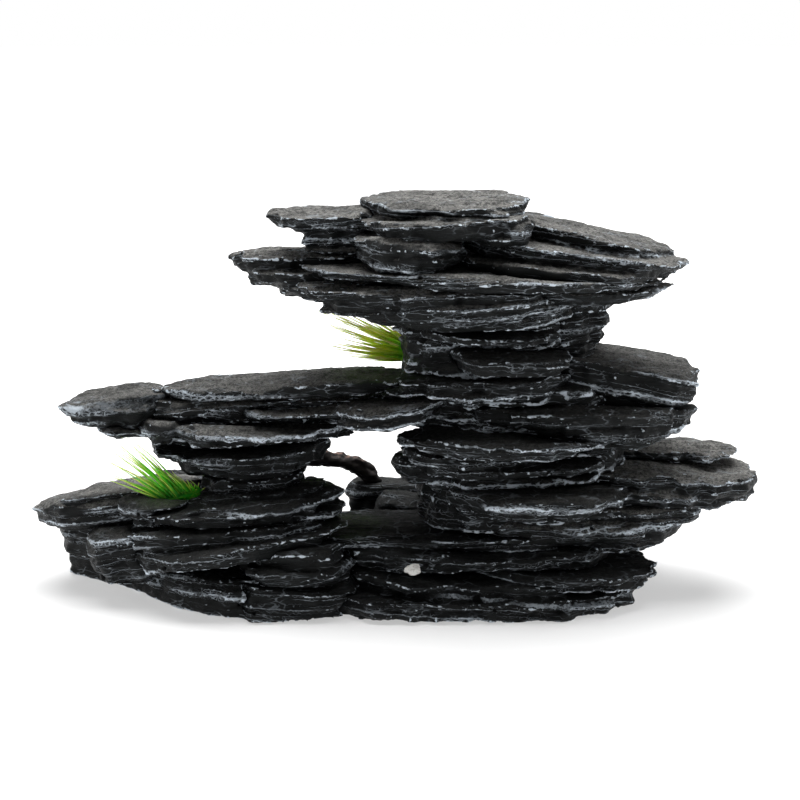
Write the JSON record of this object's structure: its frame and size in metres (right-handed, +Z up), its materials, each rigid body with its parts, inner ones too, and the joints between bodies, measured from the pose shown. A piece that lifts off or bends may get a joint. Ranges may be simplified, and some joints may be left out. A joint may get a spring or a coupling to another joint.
{
  "type": "aquarium cave ornament",
  "caption": "Stacked-slate cave ornament with a swim-through window, a long bridge slab, a broad canopy and pull-out plastic grass tufts.",
  "frame": {"origin": "middle of the bounding box in plan, on the floor plane that the base stands on", "axes": "+X to the right seen from the front, +Y from front to back, +Z up"},
  "size_m": [0.269, 0.105, 0.144],
  "materials": {
    "rock": "cast polyresin, charcoal black, dry-brushed pale blue-grey on the edges, semi-matte clear coat",
    "driftwood_root": "cast polyresin painted dark brown, pinkish-brown highlights on top",
    "grass_crown": "moulded dark green polyethylene",
    "grass_blades": "moulded soft polyethylene, dark green at the root, lime yellow at the tips"
  },
  "bodies": {
    "rock": {"base_plinth": "rock", "base_right_ledge": "rock", "base_right_nose": "rock", "bridge_core_slab": "rock", "bridge_lower_lamina": "rock", "bridge_middle_lamina": "rock", "bridge_nose": "rock", "bridge_right_lamina": "rock", "bridge_top_flake": "rock", "bridge_under_flake": "rock", "canopy_left_arm": "rock", "canopy_left_wing": "rock", "canopy_main_slab": "rock", "canopy_middle_ledge": "rock", "canopy_pitted_ledge": "rock", "canopy_right_plate": "rock", "canopy_right_underslab": "rock", "canopy_top_plate": "rock", "canopy_upper_plate": "rock", "column_bulge_ledge": "rock", "column_core": "rock", "column_curved_ledge": "rock", "column_holed_ledge": "rock", "column_joint_ledge": "rock", "column_left_knob": "rock", "column_lens_ledge": "rock", "column_pointed_ledge": "rock", "column_right_block": "rock", "driftwood_root": "driftwood_root", "front_left_ledge": "rock", "front_left_toe": "rock", "front_toe_ledge": "rock", "grass_shelf": "rock", "left_corner_boulder": "rock", "left_heel_stone": "rock", "left_inner_stone": "rock", "left_lower_ledge": "rock", "left_overhang_slab": "rock", "left_rear_stone": "rock", "left_upper_ledge": "rock", "neck_core": "rock", "neck_lace_ledge": "rock", "neck_right_block": "rock", "pillar_block": "rock", "pillar_cap": "rock", "pillar_foot": "rock", "rear_canopy_stone": "rock", "rear_column_high": "rock", "rear_column_low": "rock", "rear_column_middle": "rock", "rear_flat_stone": "rock", "rear_round_stone": "rock", "sill_slab": "rock", "wing_slab": "rock", "wing_top_flake": "rock", "wing_underslab": "rock"},
    "lower_grass": {"lower_grass_blades": "grass_blades", "lower_grass_crown": "grass_crown"},
    "upper_grass": {"upper_grass_blades": "grass_blades", "upper_grass_crown": "grass_crown"}
  },
  "joints": [
    {"name": "lower_grass_pull", "type": "slide", "parent": "rock", "child": "lower_grass", "axis": [-0.148, -0.385, 0.911], "range_m": [0, 0.006]},
    {"name": "upper_grass_pull", "type": "slide", "parent": "rock", "child": "upper_grass", "axis": [-0.9404, 0, 0.3401], "range_m": [0, 0.006]}
  ]
}
